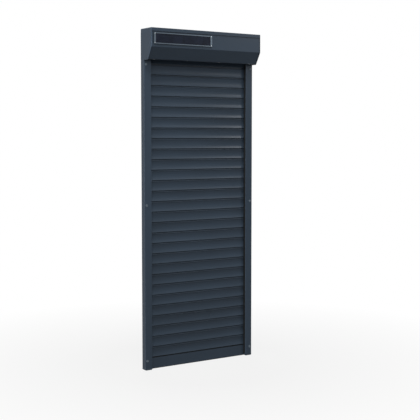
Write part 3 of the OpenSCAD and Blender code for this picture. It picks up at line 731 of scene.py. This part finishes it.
class SHUTTER_OT_box(bpy.types.Operator):
    """Coats the box, eases its end plates and makes its rivets and screws"""

    bl_idname = "shutter.box"
    bl_label = "Box"

    def execute(self, context):
        sheet = powder_coat("powder_coat_folded_sheet", along=(0.3, 1.0, 1.0), rough=0.44)
        dress(sheet, "box_rear_shell", "box_front_cover", "box_floor")
        cast = powder_coat("powder_coat_cast_end_plates", along=(1.0, 1.0, 1.0), rough=0.4)
        self.end_plate("left_end_plate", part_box("left_end_plate")[0].x, cast)
        self.end_plate("right_end_plate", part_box("right_end_plate")[1].x, cast)
        guides = moulded("moulded_polyamide_guides", linear("#22262a"), rough=0.48, grain=0.9)
        dress(guides, "entry_guides", "slot_glide")
        self.rivets(sheet)
        self.screws()
        return {"FINISHED"}

    def end_plate(self, name, face, finish):
        """Copy of a cast plate with its rim eased, except where it meets the rail and the wall."""
        bm = bmesh.new()
        bm.from_mesh(NODES[name].data)
        bmesh.ops.remove_doubles(bm, verts=bm.verts, dist=NEAR)
        bmesh.ops.dissolve_limit(bm, angle_limit=FLAT, verts=bm.verts, edges=bm.edges)
        rim = [e for e in bm.edges if all(abs(v.co.x - face) < NEAR for v in e.verts)]
        foot = min(v.co.z for e in rim for v in e.verts)
        wall = max(v.co.y for e in rim for v in e.verts)
        free = [
            e
            for e in rim
            if max(v.co.z for v in e.verts) > foot + NEAR and min(v.co.y for v in e.verts) < wall - NEAR
        ]
        bmesh.ops.bevel(
            bm,
            geom=free,
            offset=settings().trim.plate_ease,
            affect="EDGES",
            segments=3,
            profile=0.5,
            material=-1,
        )
        made = piece("eased_" + name, bm, finish, "frame", [name])
        # The broad faces shade as flat ones beside their rounded rims
        made.modifiers.new("flat_faces", "WEIGHTED_NORMAL").keep_sharp = True

    def rivets(self, finish):
        """Blind rivets that hold the top shell on the end plates."""
        trim = settings().trim
        low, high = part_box("shell_rivets")
        r, h, shank = trim.rivet_r, trim.rivet_h, trim.shank_r
        base = high.z - h
        # Domed head, with the broken mandrel sunk in its middle, then the shank
        profile = [
            (0.0, 0.35 * h),
            (0.3 * shank, 0.45 * h),
            (0.62 * shank, 0.3 * h),
            (0.7 * shank, 0.9 * h),
            (0.9 * shank, h),
            (0.62 * r, 0.92 * h),
            (0.86 * r, 0.6 * h),
            (r, 0.12 * h),
            (r, 0.0),
            (shank, 0.0),
            (shank, low.z - base),
            (0.0, low.z - base),
        ]
        bm = bmesh.new()
        for x in (low.x + r, high.x - r):
            for y in (low.y + r, high.y - r):
                turned(bm, profile, Matrix.Translation((x, y, base)))
        piece("blind_rivets", bm, finish, "frame", ["shell_rivets"])

    def screws(self):
        """Pan-head screws that hold the front cover's lip and the floor together."""
        trim = settings().trim
        low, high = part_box("cover_screws")
        r, h, thread = trim.screw_r, trim.screw_h, trim.thread_r
        seat = low.z + h
        shaft = high.z - seat
        pitch = 0.7 * thread
        # Pan head, seen from below, with a round socket; a thread in rings; a point
        profile = [
            (0.0, -0.3 * h),
            (0.45 * r, -0.35 * h),
            (0.5 * r, -0.95 * h),
            (0.62 * r, -h),
            (0.86 * r, -0.75 * h),
            (r, -0.2 * h),
            (r, 0.0),
            (thread, 0.0),
        ]
        for i in range(int((shaft - 2 * pitch) / pitch)):
            profile += [(0.78 * thread, (i + 0.5) * pitch), (thread, (i + 1) * pitch)]
        profile += [(0.5 * thread, shaft - 0.5 * pitch), (0.0, shaft)]
        bm = bmesh.new()
        for x in (low.x + r, (low.x + r) / 3, (high.x - r) / 3, high.x - r):
            turned(bm, profile, Matrix.Translation((x, (low.y + high.y) / 2, seat)), steps=24)
        steel = worked_metal("zinc_plated_screws", linear("#a7abad"), along=(1.0, 1.0, 0.2), rough=0.34)
        piece("cover_pan_screws", bm, steel, "frame", ["cover_screws"])


class SHUTTER_OT_roller(bpy.types.Operator):
    """Finishes the tube, its motor and bearing, and the strips that hang the curtain"""

    bl_idname = "shutter.roller"
    bl_label = "Roller"

    def execute(self, context):
        dress(galvanised("galvanised_steel_tube"), "roller_tube", "motor_bracket")
        drawn = worked_metal("drawn_steel_motor_tube", linear("#8d9296"), along=(0.03, 1.0, 1.0), rough=0.36)
        dress(drawn, "motor_body")
        ground = worked_metal("ground_bearing_steel", linear("#c2c5c7"), along=(1.0, 0.1, 0.1), rough=0.2)
        dress(ground, "idler_bearing")
        rolled = worked_metal("rolled_spring_steel", linear("#84888c"), along=(1.0, 1.0, 0.05), rough=0.34)
        dress(rolled, "hanger_strips")
        filled = moulded("moulded_glass_filled_polyamide", linear("#25292d"), rough=0.5, grain=0.9)
        dress(filled, "motor_crown", "drive_wheel", "idler_plug", "motor_head", "bearing_holder")
        return {"FINISHED"}


class SHUTTER_OT_solar(bpy.types.Operator):
    """Finishes the panel and its battery and makes the cells, ribbons, frame screws and battery sleeve"""

    bl_idname = "shutter.solar"
    bl_label = "Solar supply"

    def execute(self, context):
        solar = settings().solar
        dress(anodised("anodised_grey_frame", tuple(solar.frame), along=(0.02, 1.0, 1.0)), "solar_frame")
        dress(laminate("embossed_laminate", tuple(solar.backing)), "solar_cells")
        clips = worked_metal("rolled_clip_steel", linear("#8f9498"), along=(1.0, 0.2, 0.2), rough=0.34)
        dress(clips, "battery_clips")
        self.cells()
        self.frame_screws()
        self.battery()
        return {"FINISHED"}

    def cells(self):
        """Two halves of cells in a row, each half joined by two ribbons."""
        solar = settings().solar
        low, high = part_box("solar_frame")
        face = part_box("solar_cells")[0].y
        top = face - solar.cell_t
        x0 = low.x + solar.frame_end + solar.edge_gap
        x1 = high.x - solar.frame_end - solar.edge_gap
        z0 = low.z + solar.frame_edge + solar.edge_gap
        z1 = high.z - solar.frame_edge - solar.edge_gap
        half = (x1 - x0 - solar.half_gap) / 2
        wide = (half - (solar.cells - 1) * solar.cell_gap) / solar.cells
        tiles, ribbons = bmesh.new(), bmesh.new()
        for start in (x0, x1 - half):
            for i in range(solar.cells):
                left = start + i * (wide + solar.cell_gap)
                self.cell(tiles, (left, top, z0), (left + wide, face, z1))
            for part in (0.25, 0.75):
                z = z0 + part * (z1 - z0)
                slab(
                    ribbons,
                    (start + solar.ribbon_end, top - solar.ribbon_t, z - solar.ribbon_w / 2),
                    (start + half - solar.ribbon_end, top, z + solar.ribbon_w / 2),
                )
        dark = silicon("monocrystalline_silicon", tuple(solar.cell))
        piece("silicon_cells", tiles, dark, "frame")
        copper = worked_metal("blackened_copper_ribbon", linear("#262b33"), along=(0.05, 1.0, 1.0), rough=0.5)
        piece("cell_ribbons", ribbons, copper, "frame")

    def cell(self, bm, low, high):
        """Thin tile with cut corners."""
        solar = settings().solar
        edges = {e for v in slab(bm, low, high) for e in v.link_edges}
        upright = [e for e in edges if abs(e.verts[0].co.y - e.verts[1].co.y) > 0.5 * solar.cell_t]
        bmesh.ops.bevel(
            bm, geom=upright, offset=solar.corner, affect="EDGES", segments=1, profile=0.5, material=-1
        )

    def frame_screws(self):
        """Screws in the corners of the panel's frame."""
        solar = settings().solar
        low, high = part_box("solar_frame")
        r = solar.screw_r
        inset = solar.frame_end / 2
        over, socket, under = 0.00015, 0.00004, 0.0012
        # Countersunk heads that end a hair over the frame, each with a shallow round socket
        profile = [
            (0.0, socket),
            (0.36 * r, socket),
            (0.42 * r, 0.00014),
            (0.62 * r, over),
            (0.86 * r, 0.00012),
            (r, 0.00005),
            (r, -0.0002),
            (0.5 * r, -under),
            (0.0, -under),
        ]
        to_front = Matrix.Rotation(QUARTER_TURN, 4, "X")
        bm = bmesh.new()
        for x in (low.x + inset, high.x - inset):
            for z in (low.z + inset, high.z - inset):
                turned(bm, profile, Matrix.Translation((x, low.y, z)) @ to_front, steps=24)
        steel = worked_metal("stainless_screws", linear("#b4b8ba"), along=(1.0, 1.0, 1.0), rough=0.24)
        piece("panel_frame_screws", bm, steel, "frame")

    def battery(self):
        """Shrink sleeve that dips between the cells and rolls over the ends."""
        solar = settings().solar
        low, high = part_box("battery_pack")
        r = (high.z - low.z) / 2
        span = high.x - low.x
        each = span / solar.battery_cells
        sunk, dip = 0.0012, 0.004
        end = [
            (0.0, sunk),
            (0.55 * r, sunk),
            (0.62 * r, 0.0),
            (0.84 * r, 0.0),
            (0.95 * r, 0.0006),
            (r, 0.002),
        ]
        profile = list(end)
        for i in range(1, solar.battery_cells):
            profile += [(r, i * each - dip), (0.97 * r, i * each), (r, i * each + dip)]
        profile += [(radius, span - height) for radius, height in reversed(end)]
        place = Matrix.Translation((low.x, (low.y + high.y) / 2, (low.z + high.z) / 2))
        bm = bmesh.new()
        turned(bm, profile, place @ Matrix.Rotation(QUARTER_TURN, 4, "Y"), steps=48)
        sleeve = moulded("shrunk_pvc_sleeve", linear("#23303b"), rough=0.32, grain=2.5)
        piece("battery_sleeve", bm, sleeve, "frame", ["battery_pack"])


class ShutterSettings(bpy.types.PropertyGroup):
    """All settings of the shutter's looks"""

    coat: PointerProperty(type=CoatSettings, name="Coat", description="Coated and moulded pieces")
    trim: PointerProperty(type=TrimSettings, name="Trim", description="Caps, rivets, screws and rims")
    solar: PointerProperty(type=SolarSettings, name="Solar", description="Solar panel and battery")
    stage: PointerProperty(type=StageSettings, name="Stage", description="Camera, floor and light")


class SHUTTER_PT_panel(bpy.types.Panel):
    """Lists the shutter's operators and settings"""

    bl_idname = "SHUTTER_PT_panel"
    bl_label = "Roller shutter"
    bl_space_type = "VIEW_3D"
    bl_region_type = "UI"
    bl_category = "Shutter"

    def draw(self, context):
        for operator in OPERATORS:
            self.layout.operator(operator.bl_idname)
        shutter = context.scene.shutter
        for group in (shutter.coat, shutter.trim, shutter.solar, shutter.stage):
            box = self.layout.box()
            for key in group.bl_rna.properties.keys():
                if key not in ("rna_type", "name"):
                    box.prop(group, key)


OPERATORS = (
    SHUTTER_OT_stage,
    SHUTTER_OT_curtain,
    SHUTTER_OT_rails,
    SHUTTER_OT_box,
    SHUTTER_OT_roller,
    SHUTTER_OT_solar,
)
GROUPS = (CoatSettings, TrimSettings, SolarSettings, StageSettings, ShutterSettings)


def register():
    """Registers the classes and gives the scene its settings."""
    for kind in (*GROUPS, *OPERATORS, SHUTTER_PT_panel):
        bpy.utils.register_class(kind)
    bpy.types.Scene.shutter = PointerProperty(type=ShutterSettings)


def unregister():
    """Takes the settings and the classes away again."""
    del bpy.types.Scene.shutter
    for kind in reversed((*GROUPS, *OPERATORS, SHUTTER_PT_panel)):
        bpy.utils.unregister_class(kind)


def main():
    register()
    bpy.ops.shutter.stage()
    bpy.ops.shutter.curtain()
    bpy.ops.shutter.rails()
    bpy.ops.shutter.box()
    bpy.ops.shutter.roller()
    bpy.ops.shutter.solar()


if __name__ == "__main__":
    main()
